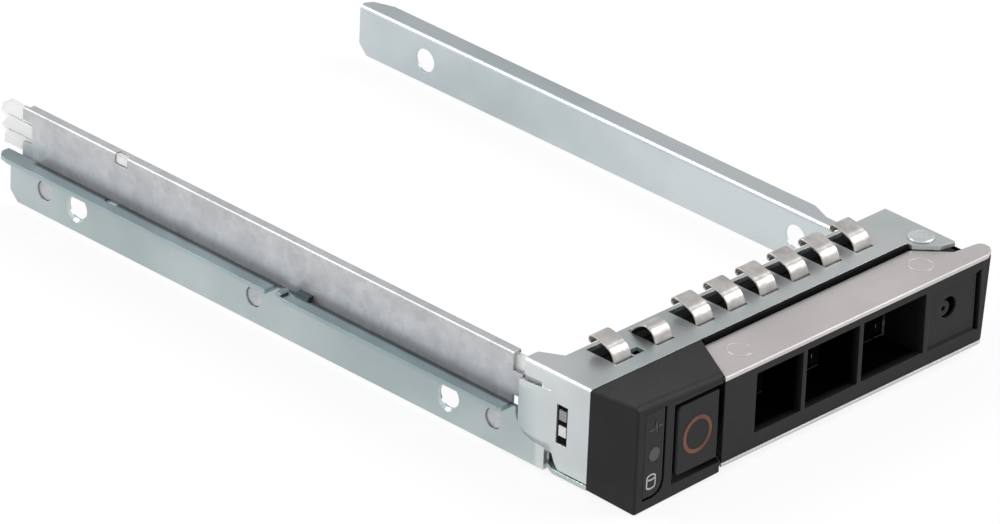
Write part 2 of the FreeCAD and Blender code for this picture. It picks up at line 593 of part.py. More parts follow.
pad(plate, "Web", "Y", "handleBack - handleThick", "handleBack", [
    ("rect", "-12.6", "26.5", "handleLow", "handleHigh")])
pad(plate, "LowPlate", "Z", "handleLow", "handleLow + handleThick", [("poly", lowOutline)])
pocket(plate, "WebWindows", "Y", "handleBack - handleThick - 0.1", "handleBack + 0.1", [
    ("rect", "windowLeft - 0.3", "windowRight + 0.3", "windowLow - 0.3", "windowHigh + 0.3")])
pocket(plate, "RivetHoles", "Z", "handleLow - 0.1", "handleHigh + 0.1", [
    ("circle", "rivetLeft", "rivetDeep", "rivetRadius + 0.04"),
    ("circle", "rivetRight", "rivetDeep", "rivetRadius + 0.04")])
dress(plate, "Fillet", "FrontEdges", "0.25", lambda e: along(e, "x") and e.Length > 30
      and abs(e.BoundBox.Center.y - size["handleFront"]) < 0.01
      and (near(e, z=size["handleHigh"]) or near(e, z=size["handleLow"])))

insert = newBody("handle_insert")
insertLow = "handleLow + handleThick"
insertHigh = "handleHigh - handleThick"
backFace = "handleBack - handleThick"
pad(insert, "Block", "Z", insertLow, insertHigh, [("poly", [
    ("handleLeftFront + insertInset", "handleFront + insertInset"),
    ("36.8", "handleFront + insertInset"), ("37.1", "handleFront + 0.6"), ("37.1", "-6.2"),
    ("36.3", "-4.6"), ("36.3", "-2.2"), ("34.4", "-2.2"), ("34.4", "-3.0"), ("30.6", "-3.0"),
    ("29.2", backFace),
    ("handleLeftBack - 0.2", backFace)])])
pad(insert, "RightEnd", "Y", "handleFront + insertInset + 0.3", "-6.4", [("poly", [
    ("36.4", insertLow), ("37.25", insertLow), ("38.3", insertHigh), ("36.4", insertHigh)])])
pad(insert, "Lug", "Z", "1.4", "15.3", [("circle", "pinAcross", "pinDeep", "lugRadius")])
pad(insert, "Neck", "Z", insertLow, insertHigh, [("poly", [
    ("pinAcross - 2.2", "-3.2"), ("pinAcross + 2.0", "-3.2"), ("pinAcross + 2.2", "pinDeep - 0.6"),
    ("pinAcross - 2.2", "pinDeep - 0.6")])])
pocket(insert, "Windows", "Y", "handleFront", "handleBack", [
    ("rect", "windowLeft", "ribLeft - ribThick / 2", "windowLow", "windowHigh"),
    ("rect", "ribLeft + ribThick / 2", "ribRight - ribThick / 2", "windowLow", "windowHigh"),
    ("rect", "ribRight + ribThick / 2", "windowRight", "windowLow", "windowHigh")])
pocket(insert, "Panel", "Y", "handleFront", "handleFront + insertInset + 0.35", [
    ("rect", "windowRight + 0.9", "35.4", "3.9", "13.3")])
pocket(insert, "PanelGroove", "Y", "handleFront", "handleFront + insertInset + 1.8", [
    ("rect", "35.35", "36.1", "3.7", "13.5")])
pocket(insert, "Recess", "Y", "handleFront", "handleFront + insertInset + 1.6",
       [("circle", "recessAcross", "recessHigh", "recessRadius")])
pad(insert, "RecessBoss", "Y", "handleFront + 0.7", "handleFront + insertInset + 1.7",
    [("circle", "recessAcross - 0.75", "recessHigh", "recessRadius - 0.55")])
pocket(insert, "RecessHole", "Y", "handleFront + 0.6", "handleFront + 2.4",
       [("circle", "recessAcross - 0.85", "recessHigh", "0.4")])
pocket(insert, "PinBore", "Z", "1.3", "15.4", [("circle", "pinAcross", "pinDeep", "pinRadius + runningGap")])
pocket(insert, "CatchWay", "Z", "6.2", "13.4", [
    ("rect", "handleLeftFront - 0.5", "-12.0", "-5.6", "handleBack")])

strike = newBody("latch_strike")
pad(strike, "Plate", "X", "-12.5", "-12.0", [("rect", "-5.4", "-1.9", "6.4", "13.2")])

# ---------------------------------------------------------------- hinge pin, turned in one piece
pin = newBody("hinge_pin")
pinSketch = newSketch(pin, "Profile", "XZ_Plane", "-pinDeep", [("poly", [
    ("pinAcross", "0.02"), ("pinAcross + pinHead - 0.15", "0.02"), ("pinAcross + pinHead - 0.15", "bottomLow"),
    ("pinAcross + pinRadius", "bottomLow"), ("pinAcross + pinRadius", "boxTop"),
    ("pinAcross + pinHead", "boxTop"), ("pinAcross + pinHead", "boxTop + pinHeadHigh - 0.15"),
    ("pinAcross + pinHead - 0.2", "boxTop + pinHeadHigh"), ("pinAcross", "boxTop + pinHeadHigh")])])
turned = pin.newObject("PartDesign::Revolution", "Turned")
turned.Profile = pinSketch
turned.ReferenceAxis = (pinSketch, ["Edge9"])
turned.Angle = 360
doc.recompute()


# ---------------------------------------------------------------- groups of identical pieces
def rod(name, across, deep, low, radius, height):
    cylinder = doc.addObject("Part::Cylinder", name)
    cylinder.setExpression("Radius", bound(radius))
    cylinder.setExpression("Height", bound(height))
    cylinder.setExpression("Placement.Base.x", bound(across))
    cylinder.setExpression("Placement.Base.y", bound(deep))
    cylinder.setExpression("Placement.Base.z", bound(low))
    return cylinder


def bar(name, left, right, front, rear, low, high):
    box = doc.addObject("Part::Box", name)
    box.setExpression("Length", bound("(%s) - (%s)" % (right, left)))
    box.setExpression("Width", bound("(%s) - (%s)" % (rear, front)))
    box.setExpression("Height", bound("(%s) - (%s)" % (high, low)))
    box.setExpression("Placement.Base.x", bound(left))
    box.setExpression("Placement.Base.y", bound(front))
    box.setExpression("Placement.Base.z", bound(low))
    return box


def group(label, members):
    compound = doc.addObject("Part::Compound", label)
    compound.Label = label
    compound.Links = members
    compound.setExpression("Placement.Base.y", "Dims.boxFront")
    exports.append(compound)
    return compound


rivets = []
for side in ("Left", "Right"):
    rivets.append(rod("RivetTop" + side, "rivet" + side, "rivetDeep", "handleHigh - handleThick",
                      "rivetRadius", "handleThick + 0.04"))
    rivets.append(rod("RivetLow" + side, "rivet" + side, "rivetDeep", "handleLow - 0.04",
                      "rivetRadius", "handleThick + 0.04"))
group("handle_rivets", rivets)

washers = []
for name, low in (("WasherLow", "boxFloor"), ("WasherTop", "15.35")):
    disc = rod(name + "Disc", "pinAcross", "pinDeep", low, "lugRadius", "0.3")
    hole = rod(name + "Hole", "pinAcross", "pinDeep", low + " - 0.1", "pinRadius + 0.03", "0.6")
    washer = doc.addObject("Part::Cut", name)
    washer.Base = disc
    washer.Tool = hole
    washers.append(washer)
group("hinge_washers", washers)

guides = []
for name, low, high in (("Upper", "9.25", "10.85"), ("Lower", "6.75", "8.35")):
    across = bar(name + "Across", "-boxHalf + 0.15", "-31.4", "4.45", "5.85", low, high)
    ahead = bar(name + "Ahead", "-32.8", "-31.4", "bezelFront + stripDeep + 0.02", "5.85",
                "7.3" if name == "Lower" else "8.65", "8.35" if name == "Lower" else "9.85")
    step = bar(name + "Step", "-32.8", "-31.4", "4.45", "5.85",
               "6.75" if name == "Lower" else "8.65", "8.35" if name == "Lower" else "10.85")
    whole = doc.addObject("Part::MultiFuse", name + "Guide")
    whole.Shapes = [across, ahead, step]
    guides.append(whole)
group("light_guides", guides)

doc.recompute()

# ---------------------------------------------------------------- checks and export
for item in doc.Objects:
    if "Invalid" in item.State or "Error" in item.State:
        raise RuntimeError("%s is %s" % (item.Label, item.State))
for name, removed in cutChecks:
    if removed < 1e-4:
        raise RuntimeError("%s cuts nothing" % name)
os.makedirs("parts", exist_ok=True)
for item in exports:
    shape = item.Shape
    if shape.isNull() or not shape.isValid():
        raise RuntimeError("%s has no valid shape" % item.Label)
    shape.exportStep(os.path.join("parts", item.Label + ".step"))
    print("%-18s solids %d volume %.1f" % (item.Label, len(shape.Solids), shape.Volume))
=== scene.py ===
import math

import bmesh
import bpy
import numpy as np
from mathutils import Matrix


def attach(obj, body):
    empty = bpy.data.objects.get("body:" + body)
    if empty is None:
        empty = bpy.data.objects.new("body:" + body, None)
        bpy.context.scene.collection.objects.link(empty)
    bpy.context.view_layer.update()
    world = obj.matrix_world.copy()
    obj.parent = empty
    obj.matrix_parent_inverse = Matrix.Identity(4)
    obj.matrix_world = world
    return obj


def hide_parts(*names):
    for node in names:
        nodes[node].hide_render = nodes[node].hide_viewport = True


# A carrier for a 2.5-inch drive: folded zinc plated steel, a black moulded bezel with a
# release button, and a lever with silver plates round a black moulding.
# The scene is in metres, in the frame of the loaded model. Shapes are given in
# millimetres and multiplied by mm when their mesh is made.

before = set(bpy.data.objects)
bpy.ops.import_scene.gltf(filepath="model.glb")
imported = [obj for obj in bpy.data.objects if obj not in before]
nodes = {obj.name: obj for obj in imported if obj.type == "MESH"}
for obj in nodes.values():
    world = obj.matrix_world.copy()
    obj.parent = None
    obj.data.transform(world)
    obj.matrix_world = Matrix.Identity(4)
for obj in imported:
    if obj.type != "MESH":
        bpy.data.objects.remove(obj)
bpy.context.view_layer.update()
mm = 0.001
boxFront = -56.05  # where the sheet steel box begins, along y, in millimetres


def link(tree, source, target):
    tree.links.new(source, target)


def setSocket(node, name, value):
    node.inputs[name].default_value = value


def addNode(tree, kind, **settings):
    node = tree.nodes.new(kind)
    for key, value in settings.items():
        setattr(node, key, value)
    return node


def feed(tree, item, target):
    # an input takes a number, a colour, or another node's output
    if isinstance(item, (int, float)):
        target.default_value = item
    elif isinstance(item, (tuple, list)):
        target.default_value = tuple(item) + (1.0,)
    else:
        link(tree, item, target)


def addNoise(tree, vector, scale, detail=2.0, rough=0.5, stretch=None):
    # noise on the piece's own coordinates, stretched along an axis where asked
    if stretch is not None:
        mapping = addNode(tree, "ShaderNodeMapping")
        setSocket(mapping, "Scale", stretch)
        link(tree, vector, mapping.inputs["Vector"])
        vector = mapping.outputs["Vector"]
    noise = addNode(tree, "ShaderNodeTexNoise")
    feed(tree, scale, noise.inputs["Scale"])
    setSocket(noise, "Detail", detail)
    setSocket(noise, "Roughness", rough)
    link(tree, vector, noise.inputs["Vector"])
    return noise.outputs["Fac"]


def addRange(tree, value, low, high, toLow=0.0, toHigh=1.0):
    # carries low to high over to toLow to toHigh, and stops at both ends
    node = addNode(tree, "ShaderNodeMapRange")
    for name, number in (("From Min", low), ("From Max", high), ("To Min", toLow), ("To Max", toHigh)):
        setSocket(node, name, number)
    link(tree, value, node.inputs["Value"])
    return node.outputs["Result"]


def addMath(tree, kind, first, second):
    node = addNode(tree, "ShaderNodeMath", operation=kind)
    feed(tree, first, node.inputs[0])
    feed(tree, second, node.inputs[1])
    return node.outputs["Value"]


def addMix(tree, factor, first, second, blend="MIX"):
    node = addNode(tree, "ShaderNodeMix", data_type="RGBA", blend_type=blend)
    for index, item in ((0, factor), (6, first), (7, second)):  # factor, A and B of a colour mix
        feed(tree, item, node.inputs[index])
    return node.outputs[2]


def addBump(tree, shader, height, strength, deep, normal=None):
    # raises the surface by a height, over another normal where one is given
    bump = addNode(tree, "ShaderNodeBump")
    setSocket(bump, "Strength", strength)
    setSocket(bump, "Distance", deep)
    link(tree, height, bump.inputs["Height"])
    if normal is not None:
        link(tree, normal, bump.inputs["Normal"])
    link(tree, bump.outputs["Normal"], shader.inputs["Normal"])


def openGroup(name, inputs, outputs):
    # a node group with named sockets; inputs are (name, default) and outputs (name, kind)
    tree = bpy.data.node_groups.new(name, "ShaderNodeTree")
    for label, default in inputs:
        kind = "NodeSocketFloat" if isinstance(default, float) else "NodeSocketColor"
        socket = tree.interface.new_socket(name=label, in_out="INPUT", socket_type=kind)
        socket.default_value = default
    for label, kind in outputs:
        tree.interface.new_socket(name=label, in_out="OUTPUT", socket_type=kind)
    return tree, tree.nodes.new("NodeGroupInput"), tree.nodes.new("NodeGroupOutput")


# film is the colour of the painted shade on faces that look up, from filmFrom upwards
clouding = dict(low=0.35, high=0.65, fineScale=2600.0, film=(0.06, 0.065, 0.07), filmFrom=0.5)


def buildToneAndUpShade():
    # slow patches of tone with fine speckle, as on plated sheet, and painted shade on faces that look up
    tree, start, end = openGroup(
        "platingToneUpShade",
        [("Dark", (0.5, 0.5, 0.5, 1.0)), ("Light", (0.6, 0.6, 0.6, 1.0)), ("Patch Scale", 60.0),
         ("Speckle", 0.1), ("Dust", 0.2)],
        [("Color", "NodeSocketColor"), ("Mask", "NodeSocketFloat")])
    spot = addNode(tree, "ShaderNodeTexCoord").outputs["Object"]
    patch = addNoise(tree, spot, start.outputs["Patch Scale"], 3.0)
    mask = addRange(tree, patch, clouding["low"], clouding["high"])
    fine = addNoise(tree, spot, clouding["fineScale"])
    fineMask = addMath(tree, "MULTIPLY", addMath(tree, "SUBTRACT", fine, 0.5), start.outputs["Speckle"])
    total = addMath(tree, "ADD", mask, fineMask)
    tone = addMix(tree, total, start.outputs["Dark"], start.outputs["Light"])
    # faces that look up are painted darker than faces that stand upright: painted shade
    normal = addNode(tree, "ShaderNodeNewGeometry").outputs["Normal"]
    split = addNode(tree, "ShaderNodeSeparateXYZ")
    link(tree, normal, split.inputs["Vector"])
    film = addRange(tree, split.outputs["Z"], clouding["filmFrom"], 1.0)
    film = addMath(tree, "MULTIPLY", film, start.outputs["Dust"])
    upShaded = addMix(tree, film, tone, clouding["film"])
    link(tree, upShaded, end.inputs["Color"])
    link(tree, mask, end.inputs["Mask"])
    return tree


flakes = dict(warpScale=900.0, warpReach=0.0012)


def buildSpangle():
    # crystal flakes of hot dip zinc: each cell of a warped Voronoi has its own tone
    tree, start, end = openGroup(
        "zincSpangle", [("Scale", 700.0), ("Depth", 0.3)],
        [("Flake", "NodeSocketFloat")])
    spot = addNode(tree, "ShaderNodeTexCoord").outputs["Object"]
    warp = addNoise(tree, spot, flakes["warpScale"])
    shift = addNode(tree, "ShaderNodeVectorMath", operation="MULTIPLY_ADD")
    setSocket(shift, 1, (flakes["warpReach"],) * 3)
    link(tree, warp, shift.inputs[0])
    link(tree, spot, shift.inputs[2])
    cells = addNode(tree, "ShaderNodeTexVoronoi", feature="F1")
    link(tree, shift.outputs["Vector"], cells.inputs["Vector"])
    link(tree, start.outputs["Scale"], cells.inputs["Scale"])
    split = addNode(tree, "ShaderNodeSeparateColor")
    link(tree, cells.outputs["Color"], split.inputs["Color"])
    centred = addMath(tree, "SUBTRACT", split.outputs[0], 0.5)
    flake = addMath(tree, "MULTIPLY", centred, start.outputs["Depth"])
    link(tree, flake, end.inputs["Flake"])
    return tree


rolling = dict(stretch=(1.0, 0.04, 1.0), pitScale=2400.0)


def buildRolling():
    # faint lengthwise rolling lines and pits, as a height
    tree, start, end = openGroup(
        "rollingGrain", [("Line Scale", 900.0), ("Pit Scale", rolling["pitScale"]), ("Lines", 0.6)],
        [("Height", "NodeSocketFloat")])
    spot = addNode(tree, "ShaderNodeTexCoord").outputs["Object"]
    lines = addNoise(tree, spot, start.outputs["Line Scale"], stretch=rolling["stretch"])
    pits = addNoise(tree, spot, start.outputs["Pit Scale"], 3.0)
    height = addNode(tree, "ShaderNodeMix", data_type="FLOAT")
    for index, item in ((0, start.outputs["Lines"]), (2, pits), (3, lines)):  # factor, A and B
        link(tree, item, height.inputs[index])
    link(tree, height.outputs[0], end.inputs["Height"])
    return tree


edges = dict(round=0.00022, flat=0.995, sharp=0.8, gapLow=0.3, gapHigh=0.6, faintest=0.4,
             metalBreakup=300.0, plasticBreakup=500.0)


def buildEdgeWear():
    # mask of the edges, from how far a rounded normal leaves the real one, broken up by noise
    tree, start, end = openGroup(
        "edgeWear", [("Amount", 1.0), ("Breakup", edges["metalBreakup"]), ("Round", edges["round"])],
        [("Mask", "NodeSocketFloat"), ("Normal", "NodeSocketVector")])
    bevel = addNode(tree, "ShaderNodeBevel", samples=4)
    link(tree, start.outputs["Round"], bevel.inputs["Radius"])
    geometry = addNode(tree, "ShaderNodeNewGeometry")
    dot = addNode(tree, "ShaderNodeVectorMath", operation="DOT_PRODUCT")
    link(tree, bevel.outputs["Normal"], dot.inputs[0])
    link(tree, geometry.outputs["Normal"], dot.inputs[1])
    edge = addRange(tree, dot.outputs["Value"], edges["flat"], edges["sharp"])
    spot = addNode(tree, "ShaderNodeTexCoord").outputs["Object"]
    broken = addNoise(tree, spot, start.outputs["Breakup"], 3.0)
    broken = addRange(tree, broken, edges["gapLow"], edges["gapHigh"], edges["faintest"], 1.0)
    mask = addMath(tree, "MULTIPLY", addMath(tree, "MULTIPLY", edge, broken), start.outputs["Amount"])
    link(tree, mask, end.inputs["Mask"])
    link(tree, bevel.outputs["Normal"], end.inputs["Normal"])
    return tree


def buildBoxMask():
    # 1 deep inside a box given in metres, and 0 outside it: the product, over the six sides,
    # of the distance past that side over the softness, held between 0 and 1
    sides = [("Left", -1.0), ("Right", 1.0), ("Front", -1.0), ("Rear", 1.0), ("Low", -1.0), ("High", 1.0)]
    tree, start, end = openGroup(
        "boxMask", sides + [("Soft", 0.0002), ("Amount", 1.0)], [("Mask", "NodeSocketFloat")])
    spot = addNode(tree, "ShaderNodeTexCoord").outputs["Object"]
    split = addNode(tree, "ShaderNodeSeparateXYZ")
    link(tree, spot, split.inputs["Vector"])
    total = start.outputs["Amount"]
    for axis, (low, high) in zip("XYZ", (("Left", "Right"), ("Front", "Rear"), ("Low", "High"))):
        here, least, most = split.outputs[axis], start.outputs[low], start.outputs[high]
        for first, second in ((here, least), (most, here)):
            depth = addMath(tree, "DIVIDE", addMath(tree, "SUBTRACT", first, second), start.outputs["Soft"])
            held = addNode(tree, "ShaderNodeClamp")
            link(tree, depth, held.inputs["Value"])
            total = addMath(tree, "MULTIPLY", total, held.outputs["Result"])
    link(tree, total, end.inputs["Mask"])
    return tree


boxMask = buildBoxMask()
platingToneUpShade = buildToneAndUpShade()
zincSpangle = buildSpangle()
rollingGrain = buildRolling()
edgeWear = buildEdgeWear()
print("shared effects ready")


def useGroup(tree, group, **values):
    # a value named patchScale goes to the socket Patch Scale
    node = tree.nodes.new("ShaderNodeGroup")
    node.node_tree = group
    for name, value in values.items():
        label = "".join(" " + letter if letter.isupper() else letter for letter in name)
        feed(tree, value, node.inputs[label[0].upper() + label[1:]])
    return node


def inBox(soft, amount=1.0, **sides):
    # the box mask's values, from millimetres
    return dict(soft=soft * mm, amount=amount, **{side: place * mm for side, place in sides.items()})


def startMaterial(name):
    # a new material, with its tree and its shader
    material = bpy.data.materials.new(name)
    material.use_nodes = True
    tree = material.node_tree
    shader = tree.nodes["Principled BSDF"]
    return material, tree, shader


def tintRegions(tree, color, regions):
    # multiplies a colour by a tint inside each box
    for tint, box in regions:
        region = useGroup(tree, boxMask, **box)
        color = addMix(tree, region.outputs["Mask"], color, tint, "MULTIPLY")
    return color


sheet = dict(roughSwing=0.05, grainDeep=0.00008)


def makeSheetMetal(name, look):
    # rolled or plated sheet: patches of tone, grain, and paler edges, with painted shade on faces that look
    # up and in any listed boxes
    material, tree, shader = startMaterial(name)
    tone = useGroup(tree, platingToneUpShade, dark=look["dark"], light=look["light"],
                    patchScale=look["patchScale"], speckle=look["speckle"], dust=look["dust"])
    wear = useGroup(tree, edgeWear, amount=look["wear"], round=look.get("round", edges["round"]))
    grain = useGroup(tree, rollingGrain, lineScale=look["lineScale"], lines=look["lines"])
    color = tone.outputs["Color"]
    if "spangle" in look:
        spangle = useGroup(tree, zincSpangle, scale=look["spangleScale"], depth=look["spangle"])
        lift = addMath(tree, "ADD", spangle.outputs["Flake"], 1.0)
        spread = addNode(tree, "ShaderNodeVectorMath", operation="SCALE")
        link(tree, color, spread.inputs[0])
        link(tree, lift, spread.inputs["Scale"])
        color = spread.outputs["Vector"]
    color = tintRegions(tree, color, look.get("regions", []))
    color = addMix(tree, wear.outputs["Mask"], color, look["edge"])
    link(tree, color, shader.inputs["Base Color"])
    setSocket(shader, "Metallic", look["metallic"])
    roughest, smoothest = look["rough"] + sheet["roughSwing"], look["rough"] - sheet["roughSwing"]
    rough = addRange(tree, tone.outputs["Mask"], 0.0, 1.0, roughest, smoothest)
    link(tree, rough, shader.inputs["Roughness"])
    addBump(tree, shader, grain.outputs["Height"], look["bump"], sheet["grainDeep"], wear.outputs["Normal"])
    return material


# painted shade on the frame: the left arm's shadow below its flange, the right arm, the flange's top,
# and the shadow in the line beside the cover
framePaintedShade = [
    ((0.56, 0.655, 0.665), inBox(0.6, right=-36.3, front=-47.0, high=12.5, amount=0.8)),
    ((0.91, 0.94, 0.96), inBox(0.6, left=34.0, front=-47.0, high=16.0)),
    ((0.82, 0.88, 0.90), inBox(0.3, right=-34.0, front=-43.0, rear=62.5, low=8.4, high=12.5)),
    ((0.05, 0.08, 0.10), inBox(0.5, left=-37.7, right=-34.0, front=-43.0, rear=56.0, low=8.3, high=12.5,
                               amount=0.93))]
# in each sheet below, dust is the strength of the painted shade on faces that look up
frameSteel = makeSheetMetal("zincSheet", dict(
    dark=(0.51, 0.56, 0.565), light=(0.67, 0.70, 0.705), edge=(0.74, 0.77, 0.78), patchScale=36.0,
    speckle=0.2, dust=0.42, wear=0.15, round=0.00009, lineScale=700.0, lines=0.5, regions=framePaintedShade,
    metallic=0.78, rough=0.32, bump=0.25))
bottomSteel = makeSheetMetal("zincSheetBottom", dict(
    dark=(0.44, 0.51, 0.51), light=(0.56, 0.62, 0.62), edge=(0.72, 0.78, 0.78), patchScale=45.0,
    speckle=0.25, dust=0.3, wear=0.8, lineScale=700.0, lines=0.5,
    metallic=0.75, rough=0.34, bump=0.25))
coverSteel = makeSheetMetal("galvanisedCover", dict(
    dark=(0.49, 0.495, 0.51), light=(0.56, 0.565, 0.58), edge=(0.72, 0.72, 0.73), patchScale=220.0,
    speckle=0.7, dust=0.25, wear=0.35, round=0.0001, lineScale=1100.0, lines=0.45,
    spangle=0.11, spangleScale=900.0, metallic=0.7, rough=0.4, bump=0.3))
springSteel = makeSheetMetal("stainlessFingers", dict(
    dark=(0.36, 0.345, 0.33), light=(0.52, 0.50, 0.48), edge=(0.70, 0.69, 0.67), patchScale=420.0,
    speckle=0.4, dust=0.12, wear=0.6, lineScale=1800.0, lines=0.85,
    metallic=0.92, rough=0.34, bump=0.5))
silverPlate = makeSheetMetal("silverPlate", dict(
    dark=(0.54, 0.51, 0.505), light=(0.60, 0.57, 0.562), edge=(0.82, 0.80, 0.79), patchScale=90.0,
    speckle=0.35, dust=0.28, wear=0.9, lineScale=1500.0, lines=0.15,
    metallic=0.6, rough=0.42, bump=0.35))
pinSteel = makeSheetMetal("pinSteel", dict(
    dark=(0.50, 0.52, 0.53), light=(0.62, 0.64, 0.65), edge=(0.85, 0.86, 0.86), patchScale=300.0,
    speckle=0.3, dust=0.2, wear=0.9, lineScale=1500.0, lines=0.3,
    metallic=0.85, rough=0.3, bump=0.25))
# near black steel, used only for the painted shadow ring round the pin's head
pinShadowSteel = makeSheetMetal("pinShadowSteel", dict(
    dark=(0.10, 0.105, 0.105), light=(0.16, 0.165, 0.165), edge=(0.3, 0.3, 0.3), patchScale=300.0,
    speckle=0.3, dust=0.1, wear=0.2, lineScale=1500.0, lines=0.3,
    metallic=0.8, rough=0.4, bump=0.2))
print("metals ready")

moulding = dict(toneScale=70.0, low=0.35, high=0.65, gloss=0.2, recess=(0.0015, 0.0015, 0.0015),
                smoother=0.06, rougher=0.08, grainDeep=0.00006)


def makePlastic(name, look):
    # moulded plastic with spark eroded texture, lighter where hands rub the edges; in the listed boxes it
    # gets painted shade: nearly black, with its shine taken away
    material, tree, shader = startMaterial(name)
    spot = addNode(tree, "ShaderNodeTexCoord").outputs["Object"]
    wear = useGroup(tree, edgeWear, amount=look["wear"], breakup=edges["plasticBreakup"],
                    round=look.get("round", edges["round"]))
    slow = addNoise(tree, spot, moulding["toneScale"], 3.0)
    tone = addMix(tree, addRange(tree, slow, moulding["low"], moulding["high"]), look["dark"], look["light"])
    tone = addMix(tree, wear.outputs["Mask"], tone, look["edge"])
    shine = look.get("gloss", moulding["gloss"])
    for recess in look.get("inside", []):
        deep = useGroup(tree, boxMask, **recess).outputs["Mask"]
        tone = addMix(tree, deep, tone, moulding["recess"])
        shine = addMath(tree, "MULTIPLY", addMath(tree, "SUBTRACT", 1.0, deep), shine)
    feed(tree, shine, shader.inputs["Specular IOR Level"])
    link(tree, tone, shader.inputs["Base Color"])
    erosion = addNoise(tree, spot, look["grainScale"], 3.0, 0.6)
    smoothest, roughest = look["rough"] - moulding["smoother"], look["rough"] + moulding["rougher"]
    rough = addRange(tree, erosion, 0.3, 0.7, smoothest, roughest)
    link(tree, rough, shader.inputs["Roughness"])
    addBump(tree, shader, erosion, look["bump"], moulding["grainDeep"], wear.outputs["Normal"])
    return material


bezelPlastic = makePlastic("bezelPlastic", dict(
    dark=(0.009, 0.009, 0.0095), light=(0.014, 0.014, 0.0145), edge=(0.05, 0.05, 0.05),
    wear=0.45, grainScale=3800.0, rough=0.5, bump=0.5,
    # painted shade in the button's well and the strip's groove
    inside=[inBox(0.6, left=-28.7, front=-64.8, low=1.9, high=14.9),
            inBox(0.3, left=-34.4, right=-29.6, front=-65.0, low=1.2, high=15.6)]))
handlePlastic = makePlastic("handlePlastic", dict(
    dark=(0.011, 0.011, 0.0115), light=(0.016, 0.016, 0.0165), edge=(0.05, 0.05, 0.05),
    wear=0.45, grainScale=3800.0, rough=0.5, bump=0.5,
    # painted shade in the three windows, the groove at the right of the panel, and the round recess
    inside=[inBox(1.4, left=-11.8, right=24.8, front=-64.95),
            inBox(0.4, left=35.1, right=36.4, front=-64.7),
            inBox(0.4, left=27.5, right=31.6, front=-64.5, low=7.5, high=11.5)]))
buttonPlastic = makePlastic("buttonPlastic", dict(
    dark=(0.010, 0.010, 0.0105), light=(0.014, 0.014, 0.0145), edge=(0.07, 0.07, 0.07),
    wear=0.6, grainScale=4200.0, rough=0.46, bump=0.35,
    # painted shade on the button behind its front face
    inside=[inBox(0.6, front=-64.3)]))
# plastic inside the carrier, darker and duller than the bezel's: its near black holds painted shade
shadedInnerPlastic = makePlastic("shadedInnerPlastic", dict(
    dark=(0.004, 0.004, 0.004), light=(0.006, 0.006, 0.006), edge=(0.012, 0.012, 0.012),
    wear=0.3, grainScale=3800.0, rough=0.6, bump=0.4, gloss=0.04, round=0.00002))
lensPlastic = makePlastic("lensPlastic", dict(
    dark=(0.010, 0.010, 0.010), light=(0.014, 0.014, 0.014), edge=(0.03, 0.03, 0.03),
    wear=0.3, grainScale=5200.0, rough=0.42, bump=0.15))
sliderPlastic = makePlastic("sliderPlastic", dict(
    dark=(0.02, 0.02, 0.021), light=(0.03, 0.03, 0.031), edge=(0.06, 0.06, 0.06),
    wear=0.3, grainScale=3800.0, rough=0.55, bump=0.3))
ringPlastic = makePlastic("copperRing", dict(
    dark=(0.13, 0.048, 0.03), light=(0.22, 0.10, 0.062), edge=(0.30, 0.16, 0.10),
    wear=0.4, grainScale=2600.0, rough=0.42, bump=0.2,
    inside=[inBox(4.5, left=-23.7, high=8.8, amount=0.9)]))  # painted shade at the lower right
dotPlastic = makePlastic("greyDot", dict(
    dark=(0.055, 0.055, 0.052), light=(0.08, 0.08, 0.075), edge=(0.09, 0.09, 0.085),
    wear=0.2, grainScale=2600.0, rough=0.4, bump=0.1))
printInk = makePlastic("printInk", dict(
    dark=(0.40, 0.40, 0.40), light=(0.52, 0.52, 0.52), edge=(0.55, 0.55, 0.55),
    wear=0.0, grainScale=3000.0, rough=0.5, bump=0.1))
dimInk = makePlastic("dimInk", dict(
    dark=(0.09, 0.09, 0.09), light=(0.13, 0.13, 0.13), edge=(0.13, 0.13, 0.13),
    wear=0.0, grainScale=3000.0, rough=0.5, bump=0.1))
print("plastics ready")


clearResin = dict(milkScale=220.0, milkStretch=(1.0, 0.15, 1.0), ior=1.49, smoother=0.03, rougher=0.06,
                  rippleScale=500.0, rippleStretch=(1.0, 0.1, 1.0), ripple=0.2, rippleDeep=0.0001)


def makeClear(name, look):
    # clear moulding that lets part of the light through, a little milky inside
    material, tree, shader = startMaterial(name)
    spot = addNode(tree, "ShaderNodeTexCoord").outputs["Object"]
    milk = addNoise(tree, spot, clearResin["milkScale"], 3.0, stretch=clearResin["milkStretch"])
    tone = addMix(tree, addRange(tree, milk, 0.3, 0.7), look["dark"], look["light"])
    tone = tintRegions(tree, tone, look.get("regions", []))
    link(tree, tone, shader.inputs["Base Color"])
    setSocket(shader, "Transmission Weight", look["clear"])
    setSocket(shader, "IOR", clearResin["ior"])
    ripple = addNoise(tree, spot, clearResin["rippleScale"], stretch=clearResin["rippleStretch"])
    smoothest, roughest = look["rough"] - clearResin["smoother"], look["rough"] + clearResin["rougher"]
    rough = addRange(tree, ripple, 0.3, 0.7, smoothest, roughest)
    link(tree, rough, shader.inputs["Roughness"])
    addBump(tree, shader, ripple, clearResin["ripple"], clearResin["rippleDeep"])
    return material


pipeClear = makeClear("pipeClear", dict(
    dark=(0.86, 0.87, 0.87), light=(0.99, 0.99, 0.99), clear=0.45, rough=0.12))
guideClear = makeClear("guideClear", dict(
    dark=(0.80, 0.80, 0.80), light=(0.95, 0.95, 0.95), clear=0.25, rough=0.2,
    regions=[((0.38, 0.38, 0.39), inBox(0.2, low=8.7))]))  # the upper guide is greyer

